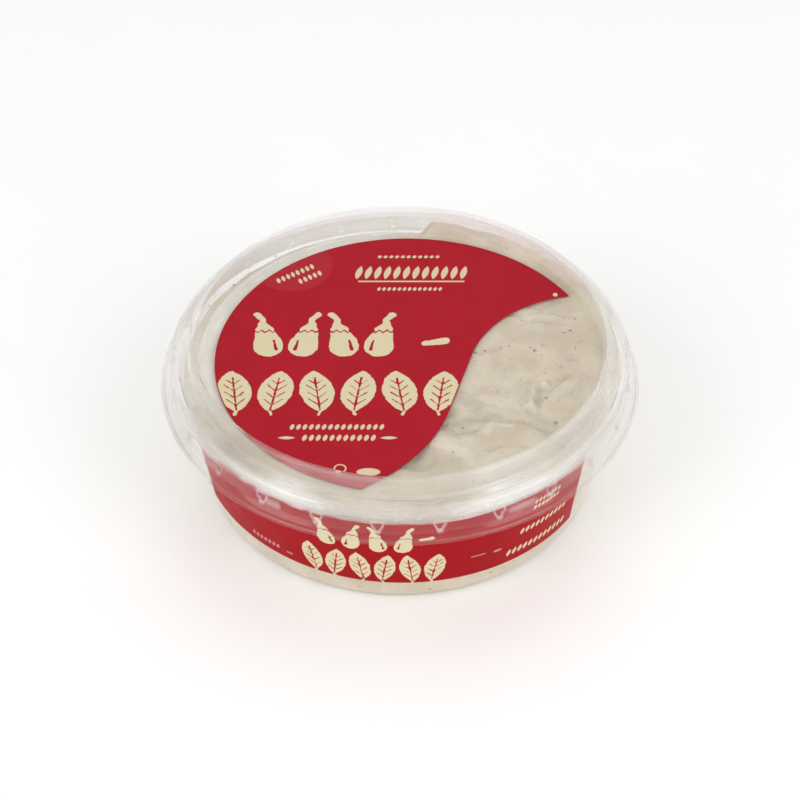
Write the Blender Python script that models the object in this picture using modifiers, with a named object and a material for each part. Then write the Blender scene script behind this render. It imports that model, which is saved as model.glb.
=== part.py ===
"""Sealed round tub of baba ganoush.

A clear thermoformed tub with a turned-down rim, a clear snap-on lid with a raised stacking ring,
the dip inside, a die-cut label in the lid's recess and a label round the front of the tub.
Metres, +Z up. The origin is the centre of the base, and the front of the tub faces -Y.
"""

import math

import bmesh
import bpy

MM = 0.001
COLLECTION = "baba_ganoush_tub"

# Facets round each turned piece.
SHELL_STEPS = 56
DIP_STEPS = 44

# Gap kept between pieces that touch in the real pack.
FIT_GAP = 0.3 * MM

# Tub
TUB_WALL = 0.55 * MM
FOOT_INNER_R = 41.3 * MM
FOOT_OUTER_R = 46.26 * MM
BASE_RAISE = 0.8 * MM
BASE_STEP = 1.2 * MM
CORNER_R = 3.0 * MM
WALL_TAPER = math.radians(8.06)
RIM_TOP_Z = 36.4 * MM
RIM_BEND_R = 1.0 * MM
CURL_BOTTOM_Z = 32.3 * MM

# Lid
LID_WALL = 0.4 * MM
LIP_R = 58.5 * MM
LIP_TOP_Z = 29.3 * MM
SKIRT_FOOT_R = 56.35 * MM
SKIRT_FOOT_Z = 30.5 * MM
SHOULDER_Z = 37.2 * MM
SHOULDER_R = 54.7 * MM
SHOULDER_ROUND = 1.2 * MM
RING_OUTER_R = 51.4 * MM
RING_INNER_R = 49.4 * MM
CREST_R = 50.35 * MM
CREST_Z = 42.1 * MM
CREST_ROUND = 0.5 * MM
PANEL_Z = 34.1 * MM

# Snap lugs, pressed inwards out of the lid's skirt
LUGS = 25
LUG_TURN = math.radians(2.0)
LUG_Z = 31.4 * MM
LUG_HALF_WIDTH = 1.0 * MM
LUG_HALF_HEIGHT = 1.1 * MM
LUG_DEPTH = 0.75 * MM
DENT_GROWTH = 1.25
DENT_SHIFT = 0.8 * MM

# Dip
DIP_RIM_R = 49.2 * MM
DIP_SLOPE_R = 51.0 * MM
DIP_RINGS = 12
DIP_CONTACT_Z = PANEL_Z - LID_WALL - FIT_GAP
DIP_COLLAR_Z = 34.9 * MM
DIP_HOLLOW_DEPTH = 2.6 * MM
DIP_LEAN = 0.9 * MM

# Labels
LABEL_THICKNESS = 0.2 * MM
LID_LABEL_Z = PANEL_Z + FIT_GAP
LID_LABEL_R = 47.1 * MM
LID_LABEL_SHIFT = 1.9 * MM
SIDE_LABEL_LEFT = math.radians(-64.5)
SIDE_LABEL_RIGHT = math.radians(55.0)
SIDE_LABEL_LOW_Z = 7.3 * MM
SIDE_LABEL_HIGH_Z = 31.0 * MM

# Linear colours
CLEAR_PLASTIC = (0.86, 0.86, 0.84)
DIP_BEIGE = (0.60, 0.54, 0.43)
LABEL_RED = (0.42, 0.012, 0.022)


def clear_scene():
    for obj in list(bpy.data.objects):
        bpy.data.objects.remove(obj, do_unlink=True)


def make_collection(name):
    collection = bpy.data.collections.new(name)
    bpy.context.scene.collection.children.link(collection)
    return collection


def plain_material(name, colour, roughness, transmission=0.0):
    material = bpy.data.materials.new(name)
    material.use_nodes = True
    shader = material.node_tree.nodes["Principled BSDF"]
    shader.inputs["Base Color"].default_value = (*colour, 1.0)
    shader.inputs["Roughness"].default_value = roughness
    shader.inputs["Metallic"].default_value = 0.0
    shader.inputs["Transmission Weight"].default_value = transmission
    return material


def add_object(name, mesh, collection, material=None):
    obj = bpy.data.objects.new(name, mesh)
    collection.objects.link(obj)
    if material:
        mesh.materials.append(material)
    return obj


def arc(centre_r, centre_z, radius, start, end, steps):
    """Points of a round bend in the profile's plane, from one angle in degrees to another."""
    points = []
    for i in range(steps + 1):
        angle = math.radians(start + (end - start) * i / steps)
        points.append((centre_r + radius * math.cos(angle), centre_z + radius * math.sin(angle)))
    return points


def shell_profile(face, thickness):
    """Closed profile of a thin wall: the face, then the same line offset to its right."""
    back = []
    for i, (r, z) in enumerate(face):
        before = face[max(i - 1, 0)]
        after = face[min(i + 1, len(face) - 1)]
        into = unit(r - before[0], z - before[1]) if i else None
        out = unit(after[0] - r, after[1] - z) if i < len(face) - 1 else None
        into = into or out
        out = out or into
        normal_r = into[1] + out[1]
        normal_z = -into[0] - out[0]
        scale = 2 * thickness / (normal_r**2 + normal_z**2)
        back.append((max(r + normal_r * scale, 0.0), z + normal_z * scale))
    return face + back[::-1]


def unit(r, z):
    length = math.hypot(r, z)
    return r / length, z / length


def turned(name, profile, steps, collection, material=None, closed=False):
    """A profile in the XZ plane turned once round Z."""
    edges = [(i, i + 1) for i in range(len(profile) - 1)]
    if closed:
        edges.append((len(profile) - 1, 0))
    mesh = bpy.data.meshes.new(name)
    mesh.from_pydata([(r, 0.0, z) for r, z in profile], edges, [])
    obj = add_object(name, mesh, collection, material)
    screw = obj.modifiers.new("Turn", "SCREW")
    screw.steps = steps
    screw.render_steps = steps
    screw.use_merge_vertices = True
    screw.merge_threshold = 0.00001
    screw.use_smooth_shade = True
    return obj


def applied(obj, collection):
    """The object again, with its modifiers made part of its mesh."""
    graph = bpy.context.evaluated_depsgraph_get()
    mesh = bpy.data.meshes.new_from_object(obj.evaluated_get(graph))
    name = obj.name
    bpy.data.objects.remove(obj, do_unlink=True)
    mesh.name = name
    return add_object(name, mesh, collection)


def wall_outer_r(z):
    """Radius of the tub's outer wall at height z."""
    bend_out = CORNER_R * math.cos(WALL_TAPER)
    bend_up = CORNER_R * (1 - math.sin(WALL_TAPER))
    return FOOT_OUTER_R + bend_out + (z - bend_up) * math.tan(WALL_TAPER)


def wall_inner_r(z):
    """Radius of the tub's inner wall at height z."""
    return wall_outer_r(z) - TUB_WALL / math.cos(WALL_TAPER)


def tub_face():
    """The tub's inner face, from the middle of the floor over the rim to the end of the curl."""
    taper = math.degrees(WALL_TAPER)
    bend_centre_r = wall_inner_r(RIM_TOP_Z - RIM_BEND_R) + RIM_BEND_R
    return (
        [
            (0.0, BASE_RAISE + TUB_WALL),
            (FOOT_INNER_R - BASE_STEP, BASE_RAISE + TUB_WALL),
            (FOOT_INNER_R, TUB_WALL),
        ]
        + arc(FOOT_OUTER_R, CORNER_R, CORNER_R - TUB_WALL, -90, -taper, 2)
        + arc(bend_centre_r, RIM_TOP_Z - RIM_BEND_R, RIM_BEND_R, 180 - taper, 0, 4)
        + [(bend_centre_r + RIM_BEND_R, CURL_BOTTOM_Z)]
    )


def make_tub(collection, material):
    profile = shell_profile(tub_face(), TUB_WALL)
    turned("tub", profile, SHELL_STEPS, collection, material)


def lid_face():
    """The lid's top face, from the middle of the panel over the ring and down to the lip."""
    round_z = SHOULDER_Z - SHOULDER_ROUND
    return (
        [(0.0, PANEL_Z), (RING_INNER_R - CREST_ROUND, PANEL_Z), (RING_INNER_R, PANEL_Z + CREST_ROUND)]
        + arc(CREST_R, CREST_Z - CREST_ROUND, CREST_ROUND, 180, 0, 2)
        + [(RING_OUTER_R, SHOULDER_Z + CREST_ROUND), (RING_OUTER_R + CREST_ROUND, SHOULDER_Z)]
        + arc(SHOULDER_R, round_z, SHOULDER_ROUND, 90, 5, 2)
        + [
            (SKIRT_FOOT_R, SKIRT_FOOT_Z),
            (SKIRT_FOOT_R + 0.5 * MM, LIP_TOP_Z + 0.35 * MM),
            (LIP_R, LIP_TOP_Z),
        ]
    )


def lug_bodies(name, half_sizes, radius, collection):
    """One small ellipsoid for each snap lug, evenly round the skirt, in one mesh."""
    shape = bmesh.new()
    for i in range(LUGS):
        azimuth = 2 * math.pi * (i + 0.5) / LUGS + LUG_TURN
        ball = bmesh.ops.create_uvsphere(shape, u_segments=6, v_segments=4, radius=1.0)
        bmesh.ops.scale(shape, vec=half_sizes, verts=ball["verts"])
        for vert in ball["verts"]:
            r = radius + vert.co.x
            side = vert.co.y
            vert.co.x = r * math.sin(azimuth) + side * math.cos(azimuth)
            vert.co.y = side * math.sin(azimuth) - r * math.cos(azimuth)
            vert.co.z += LUG_Z
    bmesh.ops.recalc_face_normals(shape, faces=shape.faces)
    mesh = bpy.data.meshes.new(name)
    shape.to_mesh(mesh)
    shape.free()
    obj = add_object(name, mesh, collection)
    obj.hide_render = True
    obj.display_type = "WIRE"
    return obj


def add_boolean(obj, operation, other):
    boolean = obj.modifiers.new(operation.title(), "BOOLEAN")
    boolean.operation = operation
    boolean.solver = "EXACT"
    boolean.object = other


def make_lid(collection, cutters, material):
    lid = turned("lid", shell_profile(lid_face(), LID_WALL), SHELL_STEPS, collection, material)
    half_sizes = (LUG_DEPTH, LUG_HALF_WIDTH, LUG_HALF_HEIGHT)
    bumps = lug_bodies("lug_bumps", half_sizes, SKIRT_FOOT_R - LID_WALL, cutters)
    dent_sizes = [size * DENT_GROWTH for size in half_sizes]
    dents = lug_bodies("lug_dents", dent_sizes, SKIRT_FOOT_R - LID_WALL + DENT_SHIFT, cutters)
    add_boolean(lid, "UNION", bumps)
    add_boolean(lid, "DIFFERENCE", dents)


def dip_height(x, y):
    """Height of the dip's top: pressed flat where it meets the lid's panel, hollowed between."""
    radius = math.hypot(x, y)
    across, along = x / (10 * MM), y / (10 * MM)
    swell = math.sin(1.3 * across + 0.7 * along + 0.4) * math.cos(1.1 * along - 0.6 * across)
    ripple = math.sin(2.9 * across - 2.1 * along) * math.sin(2.3 * along + 1.7)
    lean = DIP_LEAN * (across - along) / 6
    height = DIP_CONTACT_Z + lean + DIP_HOLLOW_DEPTH * (0.55 * swell + 0.3 * ripple - 0.15)
    height = min(max(height, DIP_CONTACT_Z - DIP_HOLLOW_DEPTH), DIP_CONTACT_Z)
    if radius <= DIP_RIM_R:
        return height
    share = min((radius - DIP_RIM_R) / (DIP_SLOPE_R - DIP_RIM_R), 1.0)
    return height + (DIP_COLLAR_Z + 0.5 * lean - height) * share


def make_dip(collection, material):
    """The dip fills the tub to the wall, and stands a little higher round the lid's recess."""
    edge_r = wall_inner_r(DIP_COLLAR_Z) - FIT_GAP
    floor_z = TUB_WALL + FIT_GAP
    top = [(DIP_RIM_R * i / DIP_RINGS, DIP_CONTACT_Z) for i in range(DIP_RINGS + 1)]
    top += [(DIP_SLOPE_R, DIP_CONTACT_Z), (edge_r, DIP_CONTACT_Z)]
    bend = arc(FOOT_OUTER_R, CORNER_R, CORNER_R - floor_z, -math.degrees(WALL_TAPER), -90, 2)
    bottom = [
        (FOOT_INNER_R, floor_z),
        (FOOT_INNER_R - BASE_STEP - FIT_GAP, floor_z + BASE_RAISE),
        (0.0, floor_z + BASE_RAISE),
    ]
    blank = turned("dip", top + bend + bottom, DIP_STEPS, collection, material)
    dip = applied(blank, collection)
    for vert in dip.data.vertices:
        if vert.co.z > DIP_CONTACT_Z - 0.01 * MM:
            vert.co.z = dip_height(vert.co.x, vert.co.y)


def lid_label_outline():
    """A disc whose right side is cut away along an S-shaped line."""
    tip = (42.9, 23.1)
    notch = (48.4, -8.5, 32.1)
    bulge = (-30.4, -7.5, 43.8)
    foot = (-8.6, -45.5)
    shift = LID_LABEL_SHIFT / MM
    radius = LID_LABEL_R / MM
    disc_start = math.degrees(math.atan2(foot[1], foot[0] - shift))
    disc_end = math.degrees(math.atan2(tip[1], tip[0] - shift))
    points = arc(shift, 0.0, radius, disc_start, disc_end - 360, 48)
    points += arc(*notch, angle_at(notch, tip), angle_at(notch, (17.4, 0.1)), 10)[1:]
    points += arc(*bulge, angle_at(bulge, (11.8, -19.3)), angle_at(bulge, foot), 8)[:-1]
    return [(x * MM, y * MM) for x, y in points]


def angle_at(circle, point):
    """The angle in degrees, from 0 to 360, at which a point lies round a circle's centre."""
    return math.degrees(math.atan2(point[1] - circle[1], point[0] - circle[0])) % 360


def make_lid_label(collection, material):
    points = lid_label_outline()
    curve = bpy.data.curves.new("lid_label", "CURVE")
    curve.dimensions = "2D"
    curve.fill_mode = "BOTH"
    curve.extrude = LABEL_THICKNESS / 2
    spline = curve.splines.new("POLY")
    spline.points.add(len(points) - 1)
    for point, (x, y) in zip(spline.points, points):
        point.co = (x, y, 0.0, 1.0)
    spline.use_cyclic_u = True
    obj = add_object("lid_label", curve, collection, material)
    obj.location.z = LID_LABEL_Z + LABEL_THICKNESS / 2


def make_side_label(collection, material):
    """A strip that follows the tub's tapered wall round the front."""
    shape = bmesh.new()
    bmesh.ops.create_grid(shape, x_segments=30, y_segments=3, size=0.5)
    for vert in shape.verts:
        azimuth = SIDE_LABEL_LEFT + (SIDE_LABEL_RIGHT - SIDE_LABEL_LEFT) * (vert.co.x + 0.5)
        z = SIDE_LABEL_LOW_Z + (SIDE_LABEL_HIGH_Z - SIDE_LABEL_LOW_Z) * (vert.co.y + 0.5)
        radius = wall_outer_r(z) + FIT_GAP
        vert.co = (radius * math.sin(azimuth), -radius * math.cos(azimuth), z)
    mesh = bpy.data.meshes.new("side_label")
    shape.to_mesh(mesh)
    shape.free()
    obj = add_object("side_label", mesh, collection, material)
    solidify = obj.modifiers.new("Thickness", "SOLIDIFY")
    solidify.thickness = LABEL_THICKNESS
    solidify.offset = 1.0


def main():
    clear_scene()
    collection = make_collection(COLLECTION)
    cutters = make_collection("cutters")
    clear = plain_material("clear_plastic", CLEAR_PLASTIC, 0.12, transmission=0.9)
    beige = plain_material("dip_beige", DIP_BEIGE, 0.45)
    red = plain_material("label_red", LABEL_RED, 0.35)
    make_tub(collection, clear)
    make_lid(collection, cutters, clear)
    make_dip(collection, beige)
    make_lid_label(collection, red)
    make_side_label(collection, red)


main()
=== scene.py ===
"""Sealed round tub of baba ganoush, built round its CAD frame.

A clear tub and lid, the dip with its flecks, a die-cut label in the lid's recess and a strip
label round the front. Metres, +Z up. The front faces -Y, and azimuths turn from there to +X.
"""

import functools
import random
from math import acos, atan2, ceil, cos, degrees, hypot, pi, radians, sin, sqrt, tan, tau

import bpy
import numpy as np
from bpy.props import FloatProperty, FloatVectorProperty, IntProperty, PointerProperty
from bpy.types import Operator, Panel, PropertyGroup
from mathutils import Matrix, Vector, noise


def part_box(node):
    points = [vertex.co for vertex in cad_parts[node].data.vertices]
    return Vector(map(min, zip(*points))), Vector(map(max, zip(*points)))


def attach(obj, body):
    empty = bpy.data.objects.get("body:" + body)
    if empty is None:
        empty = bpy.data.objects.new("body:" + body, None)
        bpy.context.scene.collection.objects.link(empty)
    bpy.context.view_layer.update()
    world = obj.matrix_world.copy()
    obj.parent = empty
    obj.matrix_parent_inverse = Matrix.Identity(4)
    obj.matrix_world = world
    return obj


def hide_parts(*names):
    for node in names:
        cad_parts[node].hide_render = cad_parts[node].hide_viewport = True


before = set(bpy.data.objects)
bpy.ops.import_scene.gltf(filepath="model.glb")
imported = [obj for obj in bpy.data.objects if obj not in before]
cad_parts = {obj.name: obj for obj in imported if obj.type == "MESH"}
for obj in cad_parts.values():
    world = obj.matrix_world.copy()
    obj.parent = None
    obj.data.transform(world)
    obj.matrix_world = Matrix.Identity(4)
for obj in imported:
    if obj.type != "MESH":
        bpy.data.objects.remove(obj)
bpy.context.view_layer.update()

bl_info = {
    "name": "Sealed Dip Tub",
    "version": (1, 0, 0),
    "blender": (4, 5, 0),
    "location": "View3D > Sidebar > Dip Tub",
    "description": "Builds a clear lidded tub of baba ganoush round its CAD frame",
    "category": "Add Mesh",
}

MM = 0.001
BODY = "root"
RIM_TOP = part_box("tub")[1].z
LID_LOW, LID_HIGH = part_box("lid")
STRIP_LOW, STRIP_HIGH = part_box("side_label")


# Settings


def setting(kind, **limits):
    """A maker of properties of one kind, from a name, a default and a description."""
    return lambda name, default, description: kind(
        name=name, description=description, default=default, **limits
    )


length = setting(FloatProperty, min=0.0, unit="LENGTH", precision=5)
angle = setting(FloatProperty, unit="ROTATION")
colour = setting(FloatVectorProperty, subtype="COLOR", min=0.0, max=1.0)
share = setting(FloatProperty, subtype="FACTOR", min=0.0, max=1.0)
number = setting(IntProperty, min=1)


class TubSettings(PropertyGroup):
    """The clear tub."""

    wall: length("Wall", 0.55 * MM, "Thickness of the tub's wall")
    foot_inner: length("Foot inside", 41.3 * MM, "Inner radius of the ring the tub stands on")
    foot_outer: length("Foot outside", 46.26 * MM, "Outer radius of the ring the tub stands on")
    base_raise: length("Base raise", 0.8 * MM, "How far the middle of the base is raised")
    base_step: length("Base step", 1.2 * MM, "Width of the slope between foot and raised base")
    corner: length("Corner", 3.0 * MM, "Outer radius of the bend between base and wall")
    taper: angle("Taper", radians(8.06), "Lean of the wall from upright")
    rim_top: length("Rim top", RIM_TOP, "Height of the tub's rim")
    rim_bend: length("Rim bend", 1.0 * MM, "Inner radius of the turned-down rim")
    curl_bottom: length("Curl bottom", 32.3 * MM, "Height at which the turned-down rim ends")
    curl_wave: length("Curl wave", 0.35 * MM, "How uneven the curl's lower edge is")
    columns: number("Columns", 360, "Columns of faces round the tub")
    haze: share("Haze", 0.012, "How milky the tub's plastic is")
    # Scales the rim's milkiness, which is partly painted highlight.
    rim_haze: share("Rim haze", 1.0, "How strong the milkiness of the drawn rim is")


class LidSettings(PropertyGroup):
    """The clear snap-on lid."""

    wall: length("Wall", 0.4 * MM, "Thickness of the lid")
    lip_radius: length("Lip radius", LID_HIGH.x, "Radius of the lid's flared lip")
    lip_top: length("Lip top", 29.3 * MM, "Height of the top of the flared lip")
    skirt_radius: length("Skirt radius", 56.35 * MM, "Radius of the skirt where it meets the lip")
    skirt_foot: length("Skirt foot", 30.5 * MM, "Height where the skirt meets the lip")
    shoulder: length("Shoulder", 37.2 * MM, "Height of the flat shoulder over the rim")
    shoulder_radius: length("Shoulder radius", 55.9 * MM, "Radius of the shoulder's outer corner")
    shoulder_round: length("Shoulder rounding", 1.5 * MM, "Rounding of the shoulder's corner")
    ring_outer: length("Ring outside", 51.4 * MM, "Outer radius of the stacking ring")
    ring_inner: length("Ring inside", 49.4 * MM, "Inner radius of the stacking ring")
    crest: length("Crest", LID_HIGH.z, "Height of the stacking ring")
    panel: length("Panel", 34.1 * MM, "Height of the recessed panel")
    lugs: number("Lugs", 25, "Snap lugs round the skirt")
    lug_turn: angle("Lug turn", radians(2.0), "How far round the first lug is past half a pitch")
    lug_foot: length("Lug foot", 30.2 * MM, "Height of the point of a lug")
    lug_height: length("Lug height", 3.7 * MM, "Height of a lug above its point")
    lug_half_width: length("Lug half width", 1.35 * MM, "Half the width of a lug at its top")
    lug_depth: length("Lug depth", 0.7 * MM, "How far a lug is pressed in below the curl")
    lug_root: length("Lug root", 0.22 * MM, "How far a lug is pressed in beside the curl")
    haze: share("Haze", 0.012, "How milky the lid's plastic is")
    # Scales the drawn walls' milkiness, which is partly painted highlight.
    veil_and_highlight: share("Veil", 1.0, "How strong the milkiness of the lid's drawn walls is")
    # How much whiter the panel's edge is veiled towards its left and back.
    panel_whitening: share("Smear", 0.36, "How much the film of dip under the panel's left veils it")


class DipSettings(PropertyGroup):
    """The baba ganoush."""

    bite: length("Bite", 0.08 * MM, "How far the dip reaches into the plastic that it wets")
    collar: length("Collar", 35.4 * MM, "Height of the dip at the wall on the full side")
    low_collar: length("Low collar", 31.6 * MM, "Height of the dip at the wall on the airy side")
    hollow: length("Hollow", 0.95 * MM, "Usual depth of the air channels under the lid")
    rings: number("Rings", 118, "Rings of faces over the dip's top")
    columns: number("Columns", 432, "Columns of faces round the dip")
    pale: colour("Pale", (0.68, 0.6, 0.475), "Where the dip is creamiest")
    warm: colour("Warm", (0.59, 0.505, 0.385), "Where the dip is richest")
    mauve: colour("Mauve", (0.45, 0.375, 0.325), "Greyish streaks of aubergine flesh")
    cream: colour("Cream", (0.79, 0.725, 0.61), "Smooth light lobes")
    # Painted shadow of the lid label on the dip, along the label's cut.
    margin: colour("Margin", (0.42, 0.33, 0.235), "Damp margin along the lid label's cut")
    # Tone of the brownish streaks in the collar and of the painted shade at its left front.
    stain_and_shade: colour("Stains", (0.375, 0.285, 0.185), "Oily streaks in the collar at the wall")
    spot: colour("Spots", (0.3, 0.25, 0.205), "Soft grey spots")
    dark_flecks: number("Dark flecks", 260, "Flecks of charred skin")
    brown_flecks: number("Brown flecks", 60, "Flecks of brown flesh")
    fleck_dark: colour("Fleck", (0.215, 0.175, 0.145), "Charred skin")
    fleck_brown: colour("Brown fleck", (0.3, 0.17, 0.09), "Browned flesh and seeds")


class LabelSettings(PropertyGroup):
    """The two printed labels."""

    film: length("Film", 0.12 * MM, "Thickness of a label")
    bite: length("Bite", 0.03 * MM, "How far a label's glue side reaches into the plastic")
    disc_radius: length("Disc radius", 47.1 * MM, "Radius of the lid label")
    disc_shift: length("Disc shift", 1.9 * MM, "How far right of the lid's middle the label is")
    cut_edge: length("Cut edge", 0.2 * MM, "Width of the bare line along a label's cut edge")
    strip_low: length("Strip foot", STRIP_LOW.z, "Height of the strip label's lower edge")
    strip_high: length("Strip top", STRIP_HIGH.z, "Height of the strip label's upper edge")
    strip_left: angle("Strip left", radians(-64.5), "Azimuth of the strip label's left end")
    strip_right: angle("Strip right", radians(55.0), "Azimuth of the strip label's right end")
    strip_tilt: length("Strip tilt", 0.7 * MM, "How much lower the strip sits at its right end")
    red: colour("Lid red", (0.418, 0.01, 0.022), "Ground of the lid label")
    deep_red: colour("Strip red", (0.362, 0.0015, 0.006), "Ground of the strip label")
    cream: colour("Cream", (0.7, 0.61, 0.395), "Printed shapes")
    pale_mark: colour("Pale marks", (0.62, 0.33, 0.36), "Small pale prints on the strip")
    disc_edge: colour("Lid edge", (0.4, 0.016, 0.03), "Cut edge of the lid label")
    strip_edge: colour("Strip edge", (0.78, 0.4, 0.4), "Bare cut edge of the strip label")


class StageSettings(PropertyGroup):
    """Floor, lights and camera."""

    floor_radius: length("Floor radius", 2.5, "Radius of the floor")
    floor: colour("Floor", (0.95, 0.95, 0.945), "Colour of the floor")
    glow: share("Glow", 0.06, "How strongly the floor itself is lit, as a light table is")
    sky: share("Sky", 0.74, "Strength of the white surroundings")
    soft_box: FloatProperty(name="Soft box", description="Radiance of the soft boxes", default=2.3)
    camera_elevation: angle("Elevation", radians(41.5), "Height of the camera over the lid's lip")
    camera_pitch: angle("Pitch", radians(0.878), "How far below the lip's middle the camera points")
    camera_distance: length("Distance", 0.45, "Distance from the camera to the lip's middle")
    lens: FloatProperty(name="Lens", description="Focal length", default=82.22, unit="CAMERA")
    bounces: number("Bounces", 32, "Walls that sight may pass")


class DipTubSettings(PropertyGroup):
    """All the sizes, colours and finishes of the tub."""

    tub: PointerProperty(type=TubSettings)
    lid: PointerProperty(type=LidSettings)
    dip: PointerProperty(type=DipSettings)
    labels: PointerProperty(type=LabelSettings)
    stage: PointerProperty(type=StageSettings)


# Shapes


def rounded(corners, steps=6, guard=0.0):
    """Profile line through (radius, height, rounding) corners, each turned with a round bend.

    A guard adds a point that far before and after each bend.
    """
    points = []
    for i, (r, z, rounding) in enumerate(corners):
        here = np.array((r, z))
        if rounding == 0 or i in (0, len(corners) - 1):
            points.append(here)
            continue
        back = np.array(corners[i - 1][:2]) - here
        ahead = np.array(corners[i + 1][:2]) - here
        back_length, ahead_length = np.linalg.norm(back), np.linalg.norm(ahead)
        back, ahead = back / back_length, ahead / ahead_length
        half = acos(float(np.clip(back @ ahead, -1, 1))) / 2
        reach = min(rounding / tan(half), 0.49 * back_length, 0.49 * ahead_length)
        radius = reach * tan(half)
        middle = here + (back + ahead) / np.linalg.norm(back + ahead) * radius / sin(half)
        first, last = here + back * reach - middle, here + ahead * reach - middle
        if guard and reach + guard < 0.5 * back_length:
            points.append(here + back * (reach + guard))
        start = atan2(first[1], first[0])
        turn = (atan2(last[1], last[0]) - start + pi) % tau - pi
        for a in np.linspace(start, start + turn, steps + 1):
            points.append(middle + radius * np.array((cos(a), sin(a))))
        if guard and reach + guard < 0.5 * ahead_length:
            points.append(here + ahead * (reach + guard))
    return np.array(points)


def bends(line):
    """How sharply a profile line turns at each of its points, from 0 to 1."""
    ahead = np.diff(line, axis=0)
    heading = np.unwrap(np.arctan2(ahead[:, 1], ahead[:, 0]))
    sharp = radians(14)
    return np.clip(np.concatenate([[0], np.abs(np.diff(heading)) / sharp, [0]]), 0, 1)


def refined(line, spacing, low, high=1.0):
    """The line with points added, so that its steps between two heights keep to a spacing."""
    points = [line[0]]
    for start, end in zip(line[:-1], line[1:]):
        count = 1
        if max(start[1], end[1]) > low and min(start[1], end[1]) < high:
            count = max(1, ceil(np.linalg.norm(end - start) / spacing))
        points += [start + (end - start) * k / count for k in range(1, count + 1)]
    return np.array(points)


def thickened(face, wall):
    """The face of a thin wall followed by the same line set off to its right, which closes it."""
    ahead = np.diff(face, axis=0)
    ahead /= np.linalg.norm(ahead, axis=1)[:, None]
    normal = np.stack([ahead[:, 1], -ahead[:, 0]], 1)
    normal = np.vstack([normal[:1], (normal[:-1] + normal[1:]) / 2, normal[-1:]])
    back = face + normal * wall / (normal**2).sum(1)[:, None]
    back[:, 0] = np.maximum(back[:, 0], 0)
    return np.vstack([face, back[::-1]])


def spun(profile, columns):
    """Radius and height of each point when a profile is turned round Z."""
    return [np.repeat(profile[:, i : i + 1], columns, axis=1) for i in (0, 1)]


def turned(azimuths, radius, height):
    """Points at those azimuths, radii and heights."""
    x, y = radius * np.sin(azimuths), -radius * np.cos(azimuths)
    return np.stack(np.broadcast_arrays(x, y, height), -1)


def ring_faces(rows, columns):
    """Faces of a closed surface over rings of points, which its two end points follow."""
    at = np.arange(rows * columns).reshape(rows, columns)
    after = np.roll(at, -1, axis=1)
    quads = np.stack([at[:-1], at[1:], after[1:], after[:-1]], -1).reshape(-1, 4)
    first = [(at.size, a, b) for a, b in zip(at[0].tolist(), after[0].tolist())]
    last = [(at.size + 1, b, a) for a, b in zip(at[-1].tolist(), after[-1].tolist())]
    return quads.tolist() + first + last


def masked_mesh(name, points, faces, masks):
    """A mesh that keeps each mask, a value per point, as an attribute."""
    mesh = bpy.data.meshes.new(name)
    mesh.from_pydata(points.tolist(), [], faces)
    for mask, values in masks.items():
        attribute = mesh.attributes.new(mask, "FLOAT", "POINT")
        attribute.data.foreach_set("value", values.astype(np.float32))
    return mesh


def skin(name, rings, first, last, masks):
    """Closed surface over rings of points, from a first point to a last."""
    points = np.vstack([rings.reshape(-1, 3), [first, last]])
    masks = {mask: np.append(values, [0.0, 0.0]) for mask, values in masks.items()}
    return masked_mesh(name, points, ring_faces(*rings.shape[:2]), masks)


def shell(name, azimuths, radius, height, masks):
    """A round shell whose first and last rings lie on the axis."""
    rings = turned(azimuths, radius, height)
    masks = {
        mask: np.broadcast_to(values, radius.shape)[1:-1] for mask, values in masks.items()
    }
    return skin(name, rings[1:-1], rings[0, 0], rings[-1, 0], masks)


def added(name, mesh, material, replaced=None, sharp=35.0):
    """Add the mesh as a piece of the object, smooth but for its sharp edges."""
    mesh.shade_smooth()
    mesh.set_sharp_from_angle(angle=radians(sharp))
    mesh.materials.append(material)
    piece = bpy.data.objects.new(name, mesh)
    bpy.context.scene.collection.objects.link(piece)
    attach(piece, BODY)
    if replaced:
        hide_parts(replaced)


def smooth(x):
    """0 below 0, 1 above 1, and a soft step between."""
    x = np.clip(x, 0, 1)
    return x * x * (3 - 2 * x)


def ruffle(points, waves, seed):
    """Smooth noise from -1 to 1 at each point, with that many waves per unit of length."""
    shift = Vector((seed * 7.3, seed * 3.1, seed * 5.7))
    flat = points.reshape(-1, 3) * waves
    return np.array([noise.noise(Vector(p) + shift) for p in flat]).reshape(points.shape[:-1])


def near(x, y, line):
    """Distance from each point to a line through several points."""
    found = np.full(np.shape(x), np.inf)
    for (ax, ay), (bx, by) in zip(line[:-1], line[1:]):
        dx, dy = bx - ax, by - ay
        t = np.clip(((x - ax) * dx + (y - ay) * dy) / (dx * dx + dy * dy), 0, 1)
        found = np.minimum(found, np.hypot(x - ax - t * dx, y - ay - t * dy))
    return found


def degrees_round(azimuths):
    """The azimuths in degrees, from -180 to 180."""
    return (np.degrees(azimuths) + 180) % 360 - 180


def shares_round(azimuths, table):
    """Percentages given at some azimuths of a table, as shares at every azimuth."""
    at, *columns = zip(*table)
    turn = degrees_round(azimuths)
    return [np.interp(turn, at, np.array(values) / 100)[None, :] for values in columns]


def gloss(azimuths, drawn):
    """How glossy the plastic is: its drawn walls are duller round the back."""
    return 1 - 0.7 * smooth((np.abs(degrees_round(azimuths)) - 100) / 25) * drawn


# Tub

# Lower edge of the drawn rim's milky band: azimuth in degrees and height in mm.
MILKY_EDGE = [
    (-180, 32.6), (-120, 32.4), (-80, 32.9), (-60, 32.2), (-53, 31.9), (-51, 32.3), (-48.5, 34),
    (-45, 34.4), (-43.6, 34.9), (-42, 34.3), (-40.8, 32.8), (-39, 33.4), (-37, 34), (-35, 32.5),
    (-31, 33.1), (-26, 32.4), (-24.7, 31.9), (-22.6, 32.6), (-12, 32.4), (0, 32.5), (11.5, 32),
    (19, 32.3), (23.6, 32.7), (32, 33), (37, 33), (48, 32.7), (70, 32.4), (110, 32.8), (180, 32.6),
]
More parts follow.
